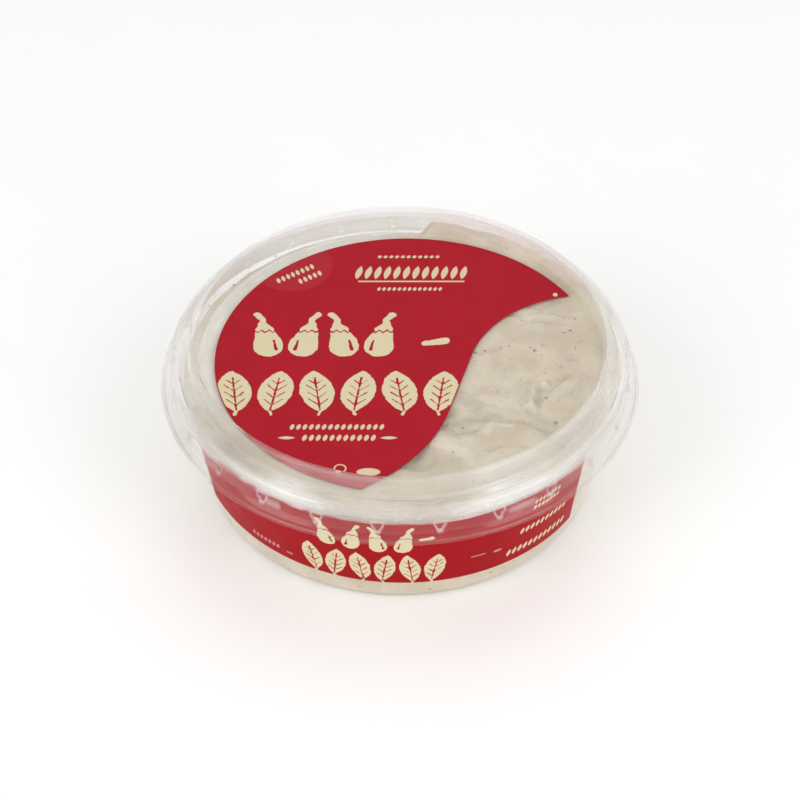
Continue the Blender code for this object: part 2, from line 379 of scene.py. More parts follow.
# How milky and how grey the drawn rim is: azimuth in degrees, then two percentages. The milky
# band is partly painted highlight: it is less grey, so whiter, from -31 to -22 and from 18 to 34
# degrees, where the soft boxes are reflected.
RIM_VEIL_AND_HIGHLIGHT = [
    (-180, 3, 0), (-110, 4, 10), (-85, 10, 20), (-74, 16, 40), (-66, 36, 70), (-60, 50, 90),
    (-44, 50, 80), (-36, 42, 60), (-31, 42, 15), (-22, 36, 20), (-14, 42, 100), (10, 42, 100),
    (18, 44, 30), (34, 44, 20), (48, 30, 40), (62, 24, 50), (80, 12, 20), (110, 4, 0), (180, 3, 0),
]


def inner_radius(tub, z):
    """Radius of the tub's inner wall at height z."""
    bend_out = tub.corner * cos(tub.taper)
    bend_up = tub.corner * (1 - sin(tub.taper))
    outer = tub.foot_outer + bend_out + (z - bend_up) * tan(tub.taper)
    return outer - tub.wall / cos(tub.taper)


def corner_line(tub, inset):
    """The bend from wall to base, set in from the tub's outer face."""
    angles = np.linspace(-tub.taper, -pi / 2, 11)
    radius = tub.corner - inset
    out, up = radius * np.cos(angles), radius * np.sin(angles)
    return np.stack([tub.foot_outer + out, tub.corner + up], 1)


def base_corners(tub, inset, middle_radius):
    """Corners of the base from its foot inwards, set in from the outer face."""
    step_round = 0.6 * MM
    return [
        (tub.foot_outer, inset, 0.0),
        (tub.foot_inner, inset, step_round),
        (tub.foot_inner - tub.base_step, tub.base_raise + inset, step_round),
        (middle_radius, tub.base_raise + inset, 0.0),
    ]


def tub_mesh(tub):
    """The thin tub with its raised base and turned-down rim."""
    bend_height, bend = tub.rim_top - tub.rim_bend, tub.rim_bend
    centre = inner_radius(tub, bend_height) + bend
    base = rounded(base_corners(tub, tub.wall, 0.0)[::-1])[:-1]
    angles = np.linspace(pi - tub.taper, 0, 13)
    rim = np.stack([centre + bend * np.cos(angles), bend_height + bend * np.sin(angles)], 1)
    curl = [(centre + bend, z) for z in np.linspace(bend_height, tub.curl_bottom, 15)[1:]]
    face = np.vstack([base, corner_line(tub, tub.wall)[::-1], rim, curl])
    face = refined(face, 3.2 * MM, tub.wall * 1.5)
    azimuths = np.arange(tub.columns) * tau / tub.columns
    radius, height = spun(thickened(face, tub.wall), tub.columns)
    # The curl's lower edge is uneven, and the rim is not quite round, as drawn plastic is.
    outside = radius > centre
    low = smooth((tub.rim_top - 1.6 * MM - height) / (2.2 * MM)) * outside
    wave = 0.5 * np.sin(24 * azimuths + 0.6) + 0.3 * np.sin(9 * azimuths + 2.0)
    wave = wave + 0.3 * np.sin(41 * azimuths)
    from_left = (azimuths + 0.75 + pi) % tau - pi
    height = height + low * wave * (0.35 + 0.65 * np.exp(-(from_left**2) / 0.5)) * tub.curl_wave
    radius = radius + low * 0.08 * MM * np.sin(7 * azimuths + 1.0)
    edge = np.interp(degrees_round(azimuths), *zip(*MILKY_EDGE)) * MM
    edge = edge + 0.12 * MM * np.sin(61 * azimuths + 0.4)
    milky = smooth((height - edge) / (0.25 * MM) + 0.5) * outside
    milky = np.maximum(milky, 0.35 * smooth((height - edge) / (1.2 * MM)))
    # The rim's milkiness, partly painted highlight left and right of the front.
    veil_and_highlight, grey = shares_round(azimuths, RIM_VEIL_AND_HIGHLIGHT)
    drawn = gloss(azimuths, smooth(height / MM - 33))
    masks = {"veil_and_highlight": milky * veil_and_highlight, "grey": grey, "gloss": drawn}
    return shell("tub_shell", azimuths, radius, height, masks)


# Lid

# The lid's drawn walls: azimuth in degrees, then percentages for how milky the stacking ring, the
# shoulder, the skirt's top and the rest of it are, and how grey the shoulder and the skirt are.
# The milkiness is partly painted highlight: the shoulder and the skirt's top are whiter near -29
# degrees and from 23 to 31 degrees, where the soft boxes are reflected.
LID_VEIL_AND_HIGHLIGHT = [
    (-180, 2, 12, 3, 3, 60, 0), (-150, 3, 12, 4, 4, 40, 20), (-125, 10, 20, 8, 6, 40, 40),
    (-110, 22, 10, 10, 10, 20, 50), (-96, 36, 8, 10, 12, 0, 25), (-88, 32, 8, 14, 15, 20, 30),
    (-80, 22, 20, 26, 17, 30, 50), (-72, 22, 30, 36, 17, 30, 60), (-64, 24, 28, 38, 15, 70, 80),
    (-56, 22, 36, 34, 8, 85, 80), (-48, 3, 36, 18, 0, 90, 90), (-40, 2, 32, 24, 0, 60, 60),
    (-34, 0, 18, 16, 0, 30, 40), (-29, 2, 40, 20, 0, 0, 30), (-23, 2, 28, 12, 0, 0, 30),
    (-17, 3, 10, 0, 0, 10, 30), (-6, 3, 4, 0, 0, 10, 30), (0, 0, 4, 0, 0, 20, 30),
    (16, 3, 12, 4, 0, 0, 30), (23, 10, 45, 22, 0, 0, 40), (31, 10, 40, 26, 0, 0, 40),
    (37, 6, 16, 18, 0, 0, 50), (50, 16, 22, 22, 4, 30, 80), (60, 24, 24, 30, 14, 40, 90),
    (72, 26, 36, 26, 18, 10, 70), (84, 26, 24, 20, 22, 20, 55), (96, 24, 14, 10, 15, 0, 35),
    (108, 20, 16, 10, 10, 30, 40), (125, 26, 16, 6, 6, 20, 40), (150, 26, 8, 5, 4, 0, 20),
    (168, 20, 10, 4, 3, 10, 0), (176, 2, 12, 3, 3, 40, 0), (180, 2, 12, 3, 3, 60, 0),
]


def lid_veil_and_highlight(lid, azimuths, radius, height):
    """How milky and how grey each point of the lid is; the milkiness is partly painted highlight.
    """
    ring, shoulder, band, skirt, grey, ash = shares_round(azimuths, LID_VEIL_AND_HIGHLIGHT)
    veil_and_highlight = ring * smooth((height - lid.panel - 0.4 * MM) / (1.2 * MM))
    veil_and_highlight = veil_and_highlight + (shoulder - veil_and_highlight) * smooth((radius - lid.ring_outer) / (0.6 * MM))
    outside = smooth((radius - lid.shoulder_radius + 1.3 * MM) / (0.9 * MM))
    veil_and_highlight = veil_and_highlight + (band - veil_and_highlight) * outside
    skirt_top, skirt_from = 35.0 * MM, 54 * MM
    low = smooth((skirt_top - height) / (1.0 * MM)) * (radius > skirt_from)
    return veil_and_highlight + (skirt - veil_and_highlight) * low, grey + (ash - grey) * outside


def lug_columns(lid):
    """Azimuths of the lid's columns, close together across each snap lug."""
    pitch = tau / lid.lugs
    reach = 1.2 * lid.lug_half_width / lid.skirt_radius
    across, between = np.linspace(-reach, reach, 14), np.linspace(reach, pitch - reach, 6)[1:-1]
    middles = lid.lug_turn + pitch * (np.arange(lid.lugs) + 0.5)
    return (middles[:, None] + np.concatenate([across, between])).ravel()


def lug_shape(lid, azimuths, height):
    """Where the skirt is pressed in by the V-shaped snap lugs: 1 inside them, 0 outside."""
    pitch = tau / lid.lugs
    turn = (azimuths - lid.lug_turn) / pitch
    across = np.abs(turn % 1.0 - 0.5) * pitch * lid.skirt_radius
    up = (height - lid.lug_foot) / lid.lug_height
    half = lid.lug_half_width * (0.35 + 0.65 * smooth(up * 1.3))
    wall = smooth((half - across) / (0.5 * MM) + 0.5)
    return wall * smooth(up / 0.15) * smooth((1 - up) / 0.15)


def lid_mesh(lid, tub):
    """The thin lid: recessed panel, stacking ring, shoulder, skirt with lugs and flared lip."""
    lip = lid.lip_radius
    corners = [
        (0.0, lid.panel, 0.0),
        (20 * MM, lid.panel, 0.0),
        (40 * MM, lid.panel, 0.0),
        (lid.ring_inner - 0.9 * MM, lid.panel, 0.0),
        (lid.ring_inner - 0.25 * MM, lid.panel, 0.55 * MM),
        (lid.ring_inner + 0.1 * MM, lid.crest, 0.62 * MM),
        (lid.ring_outer - 0.25 * MM, lid.crest, 0.62 * MM),
        (lid.ring_outer + 0.1 * MM, lid.shoulder, 0.6 * MM),
        (lid.shoulder_radius, lid.shoulder, lid.shoulder_round),
        (lid.skirt_radius, lid.skirt_foot + 0.15 * MM, 0.5 * MM),
        (lid.skirt_radius + 0.75 * MM, lid.lip_top + 0.42 * MM, 0.3 * MM),
        (lip - 0.95 * MM, lid.lip_top + 0.12 * MM, 0.2 * MM),
        (lip - 0.62 * MM, lid.lip_top + 0.3 * MM, 0.2 * MM),
        (lip - 0.3 * MM, lid.lip_top + 0.02 * MM, 0.15 * MM),
        (lip, lid.lip_top - 0.02 * MM, 0.0),
    ]
    face = rounded(corners, 5, 0.22 * MM)
    face = refined(face, 0.32 * MM, lid.lug_foot, lid.lug_foot + lid.lug_height)
    bent = bends(face)
    azimuths = lug_columns(lid)
    radius, height = spun(thickened(face, lid.wall), len(azimuths))
    pressed = lug_shape(lid, azimuths, height) * (radius > lid.skirt_radius - 1.2 * MM)
    under_curl = smooth((tub.curl_bottom - 0.1 * MM - height) / (0.6 * MM))
    radius = radius - pressed * (lid.lug_root + (lid.lug_depth - lid.lug_root) * under_curl)
    # Drawn plastic is never quite true: the ring and the skirt wander by a few hundredths.
    wander = np.sin(5 * azimuths + 0.7) + 0.7 * np.sin(11 * azimuths + 2.1)
    wander = wander + 0.5 * np.sin(23 * azimuths)
    tall = smooth((height - lid.panel - 1.0 * MM) / (6 * MM))
    radius = radius + 0.05 * MM * wander * tall * (radius < lid.skirt_radius - 0.8 * MM)
    height = height - 0.05 * MM * (1 + np.sin(8 * azimuths + 1.2)) * tall
    veil_and_highlight, grey = lid_veil_and_highlight(lid, azimuths, radius, height)
    masks = {
        "folds": 4 * pressed * (1 - pressed),
        "bends": np.concatenate([bent, bent[::-1]])[:, None],
        "veil_and_highlight": veil_and_highlight,
        "grey": grey,
        "gloss": gloss(azimuths, smooth(radius / MM - 48)),
    }
    return shell("lid_shell", azimuths, radius, height, masks)


# Dip

# Air channels under the panel: half width and share of the usual depth, then the line, in mm.
CHANNELS = [
    (1.5, 1.1, [(40.2, -6.6), (37.2, -8.6), (34.6, -12.6), (32.9, -16.4), (31.6, -19.8),
                (31.4, -22.4)]),
    (2.1, 1, [(2, -14.5), (9, -20), (15, -21.3), (21.5, -21.2), (27.5, -21.2), (32, -22.8)]),
    (2.6, 0.9, [(32, -22.8), (36, -26.2), (40.5, -29.4)]),
    (0.7, 0.5, [(27.5, -21), (29.5, -17), (30, -12), (31.5, -8.5)]),
    (0.8, 0.5, [(20, -33), (27, -30), (32, -31.5)]),
    (0.6, 0.35, [(24, 17), (31, 16.2), (38, 17.2), (44, 16)]),
    (0.5, 0.3, [(30, 13), (36, 13.6), (41, 12.6)]),
]
# Wider hollows: middle, half lengths and share of the usual depth, in mm.
HOLLOWS = [
    (13.5, -23.5, 6.2, 4.4, 1), (4, -35, 5.5, 5.5, 1.1), (39.5, 19.5, 8.5, 2.4, 0.45),
    (-20, 10, 16, 9, 1.2), (2, 22, 12, 8, 1), (-14, -20, 13, 8, 1.1),
]
# Colour patches in plain sight, in mm: half width, strength, then the line that each follows.
FLESH = [
    (2.2, 1, [(11, -24), (16, -22), (22.6, -20.7)]),
    (2.6, 0.8, [(14, -14), (18, -17.5), (20, -20.5)]),
    (1.6, 0.8, [(12.8, -28), (17, -27)]),
    (0.9, 1, [(19.6, 1.2), (24.6, 3.2)]),
    (1.1, 0.9, [(32.4, -15), (33.5, -11.5)]),
    (1, 0.6, [(31, -19.5), (36, -24.5)]),
    (0.9, 0.9, [(34.6, 17.7), (40.8, 21.9)]),
    (0.7, 0.5, [(30, 13), (37, 14.5)]),
    (0.9, 1.7, [(35, 4.6), (35, 4.8)]),
    (0.8, 1.5, [(44.6, 5.8), (44.7, 5.9)]),
    (0.8, 1.2, [(39.2, -4), (39.3, -2.6)]),
    (0.5, 1.1, [(41.3, -1.2), (43.6, -1.1)]),
    (0.9, 1.5, [(36.3, -23.6), (36.4, -23.3)]),
]
CREAM = [
    (2, 0.9, [(20.5, -15.2), (26, -16.6), (31, -17.6)]),
    (1.1, 1, [(20, -26), (22, -23.6), (26, -24.4)]),
    (0.9, 1, [(34.3, -9.9), (35, -9.5)]),
    (2.2, 0.6, [(36.5, -13.5), (41, -9)]),
    (0.8, 0.8, [(31.5, 15.4), (36.5, 16.8)]),
    (2, 0.8, [(8.5, -30), (12.5, -32), (15.8, -35)]),
    (1.2, 0.5, [(26, -10), (29, -6)]),
]


def flat_points(x, y):
    """Points over x and y at height 0."""
    return np.stack([x, y, np.zeros_like(x)], -1)


def painted(x, y, patches, crisp):
    """Strength of ragged colour patches at each point of the dip's top, in mm."""
    flat = flat_points(x, y)
    wx = x + 0.9 * ruffle(flat, 0.6, 4) + 0.35 * ruffle(flat, 1.9, 5)
    wy = y + 0.9 * ruffle(flat, 0.6, 7) + 0.35 * ruffle(flat, 1.9, 8)
    found = np.zeros(x.shape)
    for half, strength, line in patches:
        found = np.maximum(found, strength * smooth((1 - near(wx, wy, line) / half) * crisp))
    return found


AIRY_FROM, AIRY_TO = 170.6, 302  # azimuths in degrees


def airy(azimuths):
    """1 on the left and back, where the dip stands low at the wall, 0 elsewhere."""
    turn = np.degrees(azimuths) % 360
    return smooth((turn - AIRY_FROM) / 4.0) * smooth((AIRY_TO - turn) / 26)


def top_height(dip, lid, azimuths, radius):
    """Height of the dip's top at each point: pressed flat on the panel, hollow between."""
    r = radius / MM
    x, y = r * np.sin(azimuths), -r * np.cos(azimuths)
    flat = flat_points(x, y)
    coarse, middling, fine = ruffle(flat, 0.16, 1), ruffle(flat, 0.45, 2), ruffle(flat, 1.1, 3)
    wx, wy = x + 1.3 * middling + 0.5 * fine, y + 1.3 * coarse + 0.5 * fine
    away = [(near(wx, wy, line) / half, rate) for half, rate, line in CHANNELS]
    for cx, cy, half_x, half_y, rate in HOLLOWS:
        away.append((np.hypot((wx - cx) / half_x, (wy - cy) / half_y), rate))
    depth = np.zeros_like(x)
    for distance, rate in away:
        depth = np.maximum(depth, rate * np.sqrt(np.clip(1 - distance**2, 0, 1)))
    low = airy(azimuths)
    depth = np.maximum(depth, 0.9 * low * smooth((r - 40 + 3 * coarse) / 5))
    open_air = smooth(depth / 0.35)
    depth = depth * (1 + 0.25 * middling) + open_air * (0.16 * middling + 0.12 * fine)
    height = lid.panel - lid.wall + dip.bite - np.maximum(depth, 0) * dip.hollow
    # The collar stands in the hollow of the stacking ring, up to the tub's wall.
    lump = (0.5 * coarse + 0.4 * middling + 0.15 * fine) * MM
    collar = dip.collar + (dip.low_collar - dip.collar) * low + lump
    rise = smooth((r - (49.7 - 2.4 * low)) / (1.0 + 1.6 * low))
    return height + (collar - height) * rise


def dip_mesh(dip, lid, tub, labels):
    """The dip as one closed body, wet against the tub and the lid's panel."""
    azimuths = np.arange(dip.columns) * tau / dip.columns
    rim = inner_radius(tub, dip.collar) + dip.bite
    spread = np.linspace(0, 1, dip.rings + 1)[1:, None]
    radii = rim * (1 - (1 - spread) ** 1.25)
    radius = np.repeat(radii, dip.columns, axis=1)
    height = top_height(dip, lid, azimuths[None, :], radius)
    # The last ring lies on the wall, whatever height the dip has there.
    wall_at = inner_radius(tub, height[-1]) + dip.bite
    moved_from = 47 * MM
    radius = radius * (wall_at / rim) ** np.clip((radii - moved_from) / (rim - moved_from), 0, 1)
    x, y, _ = np.moveaxis(turned(azimuths, radius, height), -1, 0) / MM
    corner = corner_line(tub, tub.wall - dip.bite)
    share_down = np.linspace(0, 1, 23)[1:-1, None]
    side_z = height[-1] + (corner[0, 1] - height[-1]) * share_down
    side_r = inner_radius(tub, side_z) + dip.bite
    # Small pockets of air against the wall.
    pocket = smooth((ruffle(turned(azimuths, side_r, side_z), 190, 6) - 0.42) / 0.12)
    side_r = side_r - 0.35 * MM * pocket * smooth(side_z / (9 * MM) - 0.5)
    base = rounded(base_corners(tub, tub.wall - dip.bite, 30 * MM))
    foot = np.vstack([corner, base[1:]])
    foot_r, foot_z = spun(foot, dip.columns)
    radius, height = np.vstack([radius, side_r, foot_r]), np.vstack([height, side_z, foot_z])
    outline = disc_outline(labels)[::4]
    cut = near(x, y, np.vstack([outline, outline[:1]]))
    masks = {
        "flesh": painted(x, y, FLESH, 1.6),
        "cream": painted(x, y, CREAM, 3.0),
        # Painted shadow: darker within 2.4 mm of the lid label's outline, fading out towards the
        # left.
        "margin": smooth(1 - cut / 2.4) * smooth((x + 14) / 10),
    }
    below = np.zeros((len(radius) - dip.rings, dip.columns))
    masks = {mask: np.vstack([values, below]) for mask, values in masks.items()}
    middle = float(top_height(dip, lid, np.zeros((1, 1)), np.zeros((1, 1)))[0, 0])
    rings = turned(azimuths, radius, height)
    return skin("dip_body", rings, (0, 0, middle), (0, 0, foot[-1, 1]), masks)


# Flecks

# Flecks that lie in plain sight under the clear part of the panel: x, y and length, in mm.
SEEN_FLECKS = [
    (26.9, 4.2, 0.75), (43.1, 3.5, 0.7), (25.6, -4.3, 0.4), (40.6, 9.2, 0.8), (42.3, 10, 0.9),
    (18.5, 1.6, 1), (20.9, 2.4, 0.8), (24.7, 3.5, 0.7), (35.6, -26.2, 0.9), (36.7, -23.5, 0.8),
    (34.9, -14.8, 0.8), (23.3, -12.3, 0.5), (29, -8.3, 0.35), (36.7, -34, 0.5), (28.3, 6.5, 0.5),
    (12.3, -33.6, 0.7), (12.5, -25.9, 0.6), (46.7, 25, 1.1), (-42.4, 28.2, 0.75),
    (-32.5, 39.9, 0.45), (-48.8, -4, 0.4), (-48.6, 22.1, 0.45), (32.9, 1.9, 0.5),
    (31.9, 3.4, 0.45), (38, -3, 0.4), (44.5, -6, 0.5), (24, -16, 0.4), (41, -13.5, 0.55),
    (30.5, 14, 0.6), (43.8, 14.5, 0.5),
]
SEEN_BROWN_FLECKS = [
    (29, -22.8, 0.9), (33, 2.5, 1), (17.6, 0.9, 1.1), (14.8, -24.5, 0.9), (39, -25, 0.8),
]
# Crumbs that stick to the lid from below: x, y, height and length, in mm.
STUCK_FLECKS = [(-42, 24.4, 36.75, 0.8), (-32.1, 36.3, 36.75, 0.6), (-48.3, -7, 36.9, 0.5)]
CRUMB_RINGS, CRUMB_SIDES, CRUMB_RISE = 3, 7, 0.3
DARK_SEED, BROWN_SEED = 11, 12


def crumb(rng, size, centre, out, depth):
    """Points of one small ragged crumb, flattened, with its broad side turned out."""
    stretch, lean = rng.uniform(0.45, 0.95), rng.uniform(0, tau)
    bumps = [[rng.uniform(0.75, 1.2) for _ in range(CRUMB_SIDES)] for _ in range(CRUMB_RINGS)]
    tilt = pi * np.arange(1, CRUMB_RINGS + 1)[:, None] / (CRUMB_RINGS + 1)
    a = tau * np.arange(CRUMB_SIDES) / CRUMB_SIDES
    reach = np.sin(tilt) * bumps / 2
    px, py = reach * np.cos(a), reach * np.sin(a) * stretch
    x = px * cos(lean) - py * sin(lean)
    y = px * sin(lean) + py * cos(lean)
    z = np.broadcast_to(CRUMB_RISE * np.cos(tilt), x.shape)
    rings = np.stack([x, y, z], -1).reshape(-1, 3)
    points = np.vstack([rings, [(0, 0, CRUMB_RISE), (0, 0, -CRUMB_RISE)]]) * size
    turn = np.array(Vector(out).to_track_quat("Z", "Y").to_matrix())
    return points @ turn.T + centre - out * depth


def sunk(size):
    """How deep a crumb sits in the dip's skin."""
    return 0.2 * size - 0.05 * MM


def fleck_mesh(name, dip, lid, tub, chosen, stuck, count, seed, sizes):
    """Crumbs set into the dip's skin: the chosen ones on top, the rest over top and side."""
    rng = random.Random(seed)
    spots = [(atan2(x, -y), hypot(x, y) * MM, 1.3 * size * MM) for x, y, size in chosen]
    on_top = count // 7
    for _ in range(on_top):
        radius = 48.5 * MM * sqrt(rng.random())
        spots.append((rng.uniform(0, tau), radius, rng.uniform(*sizes) * MM))
    azimuths, radii, lengths = np.array(spots).T
    heights = top_height(dip, lid, azimuths[None], radii[None])[0]
    up, centres = np.array((0.0, 0.0, 1.0)), turned(azimuths, radii, heights)
    crumbs = [crumb(rng, s, at, up, sunk(s)) for s, at in zip(lengths, centres)]
    for *at, size in stuck:
        crumbs.append(crumb(rng, size * MM, np.array(at) * MM, up, 0.0))
    for _ in range(count - on_top):
        azimuth, size = rng.uniform(0, tau), rng.uniform(*sizes) * MM
        z = rng.uniform(3.2, 30.5) * MM
        out = turned(azimuth, cos(tub.taper), -sin(tub.taper))
        centre = turned(azimuth, inner_radius(tub, z) + dip.bite, z)
        crumbs.append(crumb(rng, size, centre, out, sunk(size)))
    one, step = ring_faces(CRUMB_RINGS, CRUMB_SIDES), len(crumbs[0])
    faces = [[i + n * step for i in face] for n in range(len(crumbs)) for face in one]
    return masked_mesh(name, np.vstack(crumbs), faces, {})


# Labels


def arc(circle, start, end, count):
    """Points on a circle (x, y, radius) from one angle to another, in degrees."""
    a = np.radians(np.linspace(start, end, count))
    return np.stack([circle[0] + circle[2] * np.cos(a), circle[1] + circle[2] * np.sin(a)], 1)


def angle_at(circle, point):
    """The angle in degrees, from 0 to 360, at which a point lies round a circle's middle."""
    return degrees(atan2(point[1] - circle[1], point[0] - circle[0])) % 360


def disc_outline(labels):
    """Outline of the lid label in mm: a disc whose right side is cut away along an S."""
    tip, neck, waist, foot = (42.9, 23.1), (17.4, 0.1), (11.8, -19.3), (-8.6, -45.5)
    notch, bulge = (48.4, -8.5, 32.1), (-30.4, -7.5, 43.8)
    disc = (labels.disc_shift / MM, 0.0, labels.disc_radius / MM)
    points = np.vstack([
        arc(disc, angle_at(disc, foot) - 360, angle_at(disc, tip) - 360, 210)[:-1],
        arc(notch, angle_at(notch, tip), angle_at(notch, neck), 40),
        arc(bulge, angle_at(bulge, waist) - 360, angle_at(bulge, foot) - 360, 30)[:-1],
    ])
    # The neck runs straight into the bulge, so it is spaced like the rest.
    closed = np.vstack([points, points[:1]])
    along = np.append(0, np.cumsum(np.linalg.norm(np.diff(closed, axis=0), axis=1)))
    at = np.linspace(0, along[-1], 400, endpoint=False)
    return np.stack([np.interp(at, along, closed[:, i]) for i in (0, 1)], 1)


def inset(outline, by):
    """The outline moved inwards by a distance."""
    along = np.roll(outline, -1, 0) - np.roll(outline, 1, 0)
    along /= np.linalg.norm(along, axis=1)[:, None]
    return outline + np.stack([along[:, 1], -along[:, 0]], 1) * by


def disc_label_mesh(labels, lid):
    """The lid label: printed face, rounded bare edge and glue side."""
    outline, edge = disc_outline(labels), labels.cut_edge / MM
    base, top, side = lid.panel - labels.bite, lid.panel + labels.film, 0.55
    rings = [(outline, base, 1.0), (outline, lid.panel + side * labels.film, 1.0)]
    for a in np.radians((30, 60, 90)):
        z = lid.panel + (side + (1 - side) * sin(a)) * labels.film
        rings.append((inset(outline, 0.06 * (1 - cos(a))), z, 1.0))
    rings.append((inset(outline, edge), top, 0.75))
    inner, middle = inset(outline, edge * 1.35), np.array((-5.0, 16.0))
    rings += [(middle + (inner - middle) * k, top, 0.0) for k in (1.0, 0.9, 0.75, 0.55, 0.3)]
    points = np.array([np.insert(line * MM, 2, z, axis=1) for line, z, _ in rings])
    bare = np.repeat([[bare] for _, _, bare in rings], len(outline), axis=1)
    ends = [(*middle * MM, base), (*middle * MM, top)]
    return skin("lid_label_film", points, *ends, {"bare_edge": bare})


def edged(edge, count):
    """Values from 0 to 1 whose first and last two steps are narrow."""
    inner = np.linspace(2 * edge, 1 - 2 * edge, count - 3)
    return np.concatenate([[0, edge], inner, [1 - edge, 1]])


def strip_label_mesh(labels, tub):
    """The strip label, wrapped snugly round the front of the tub."""
    edge = labels.cut_edge * 0.6
    span, rise = labels.strip_right - labels.strip_left, labels.strip_high - labels.strip_low
    columns, rows, edge_turn = 240, 34, edge / (50 * MM)
    s, t = np.meshgrid(edged(edge_turn / span, columns), edged(edge / rise, rows))
    z = labels.strip_low + labels.strip_tilt * (1 - 2 * s) + rise * t
    azimuth = labels.strip_left + span * s + radians(1.6) * (0.5 - t) * smooth(s * 4 - 3)
    rim = (s == 0) | (s == 1) | (t == 0) | (t == 1)
    wall = inner_radius(tub, z) + tub.wall / cos(tub.taper)
    ripple = 0.03 * MM * np.sin(azimuth * 31 + z / MM * 0.21) * np.sin(z / MM * 0.3 + 1.0)
    outer = wall + np.where(rim, 0.5 * labels.film, labels.film + ripple)
    sides = [turned(azimuth, radius, z).reshape(-1, 3) for radius in (outer, wall - labels.bite)]
    at = np.arange(s.size).reshape(s.shape)
    front = np.stack([at[:-1, :-1], at[:-1, 1:], at[1:, 1:], at[1:, :-1]], -1).reshape(-1, 4)
    loop = np.concatenate([at[0, :-1], at[:-1, -1], at[-1, :0:-1], at[:0:-1, 0]])
    after = np.roll(loop, -1)
    edges = np.stack([loop, loop + s.size, after + s.size, after], 1)
    faces = np.vstack([front, front[:, [0, 3, 2, 1]] + s.size, edges]).tolist()
    bare = np.tile(rim.ravel(), 2)
    return masked_mesh("side_label_film", np.vstack(sides), faces, {"bare_edge": bare})


# Materials


class Wire:
    """A node's output. Arithmetic on it adds Math nodes."""

    def __init__(self, nodes, socket):
        self.nodes, self.socket = nodes, socket

    def math(self, operation, *values):
        return self.nodes.add("ShaderNodeMath", {"operation": operation}, dict(enumerate(values)))

    def __add__(self, other):
        return self.math("ADD", self, other)

    __radd__ = __add__

    def __sub__(self, other):
        return self.math("SUBTRACT", self, other)

    def __rsub__(self, other):
        return self.math("SUBTRACT", other, self)

    def __mul__(self, other):
        return self.math("MULTIPLY", self, other)

    __rmul__ = __mul__

    def __truediv__(self, other):
        return self.math("DIVIDE", self, other)

    def __rtruediv__(self, other):
        return self.math("DIVIDE", other, self)

    def __pow__(self, other):
        return self.math("POWER", self, other)

    def __abs__(self):
        return self.math("ABSOLUTE", self)

    def least(self, other):
        return self.math("MINIMUM", self, other)

    def most(self, other):
        return self.math("MAXIMUM", self, other)

    def floor(self):
        return self.math("FLOOR", self)

    def zigzag(self, height):
        """Up to a height and down again, over and over."""
        return self.math("PINGPONG", self, height)


def distance(x, y):
    return (x * x + y * y) ** 0.5


def azimuth_of(x, y):
    """Angle round Z from the front, towards +X."""
    return x.math("ARCTAN2", x, y * -1.0)


class Nodes:
    """The node tree of one material or world."""

    def __init__(self, owner):
        owner.use_nodes = True
        self.owner, self.tree = owner, owner.node_tree
        self.tree.nodes.clear()

    def add(self, kind, settings=None, inputs=None, output=0):
        """A node of that kind: its settings, then the values or links of its sockets."""
        node = self.tree.nodes.new(kind)
        for name, value in (settings or {}).items():
            setattr(node, name, value)
        for name, value in (inputs or {}).items():
            socket = node.inputs[name]
            if isinstance(value, Wire):
                self.tree.links.new(value.socket, socket)
            else:
                socket.default_value = (*value, 1.0) if socket.type == "RGBA" else value
        return Wire(self, node.outputs[output]) if len(node.outputs) else node

    def mix(self, mask, first, second):
        """One colour changing into another where the mask is 1."""
        kind = {"data_type": "RGBA"}
        return self.add("ShaderNodeMix", kind, {0: mask, 6: first, 7: second}, 2)

    def blend(self, mask, first, second):
        """One shader changing into another where the mask is 1."""
        return self.add("ShaderNodeMixShader", {}, {0: mask, 1: first, 2: second})

    def step(self, low, high, x):
        """0 where x is at low, 1 where it is at high, with a soft step between."""
        kind = {"interpolation_type": "SMOOTHSTEP"}
        return self.add("ShaderNodeMapRange", kind, {"Value": x, "From Min": low, "From Max": high})

    def grain(self, place, scale, detail=2.0, roughness=0.5, stretch=(1.0, 1.0, 1.0)):
        """Noise of that many waves per millimetre, over coordinates in millimetres."""
        kind = {"operation": "MULTIPLY"}
        look = {"Scale": scale, "Detail": detail, "Roughness": roughness}
        look["Vector"] = self.add("ShaderNodeVectorMath", kind, {0: place, 1: stretch})
        return self.add("ShaderNodeTexNoise", {}, look)

    def place(self):
        """Coordinates in millimetres."""
        local = self.add("ShaderNodeTexCoord", {}, {}, "Object")
        kind = {"operation": "SCALE"}
        return self.add("ShaderNodeVectorMath", kind, {0: local, "Scale": 1 / MM})

    def xyz(self, vector):
        node = self.add("ShaderNodeSeparateXYZ", {}, {0: vector}).socket.node
        return [Wire(self, part) for part in node.outputs]

    def mask(self, name):
        """A value kept with the mesh's points."""
        return self.add("ShaderNodeAttribute", {"attribute_name": name}, {}, "Fac")

    def drawn_lines(self, x, y, z, scale):
        """Streaks that run round the Z axis, as on plastic that was drawn into a mould."""
        ring = {0: distance(x, y), 1: azimuth_of(x, y) * 5.0, 2: z}
        return self.grain(self.add("ShaderNodeCombineXYZ", {}, ring), scale, 3.0, 0.6)

    def bump(self, height, distance):
        return self.add("ShaderNodeBump", {}, {"Height": height, "Distance": distance})

    def principled(self, inputs):
        return self.add("ShaderNodeBsdfPrincipled", {}, inputs)

    def finish(self, shader, into="ShaderNodeOutputMaterial"):
        """Link the shader to the output, which completes the material or world."""
        self.add(into, {}, {"Surface": shader})
        return self.owner


def new_nodes(name):
    """The empty node tree of a new material."""
    return Nodes(bpy.data.materials.new(name))


MILK_WHITE, MILK_GREY = (0.91, 0.905, 0.89), (0.56, 0.52, 0.475)


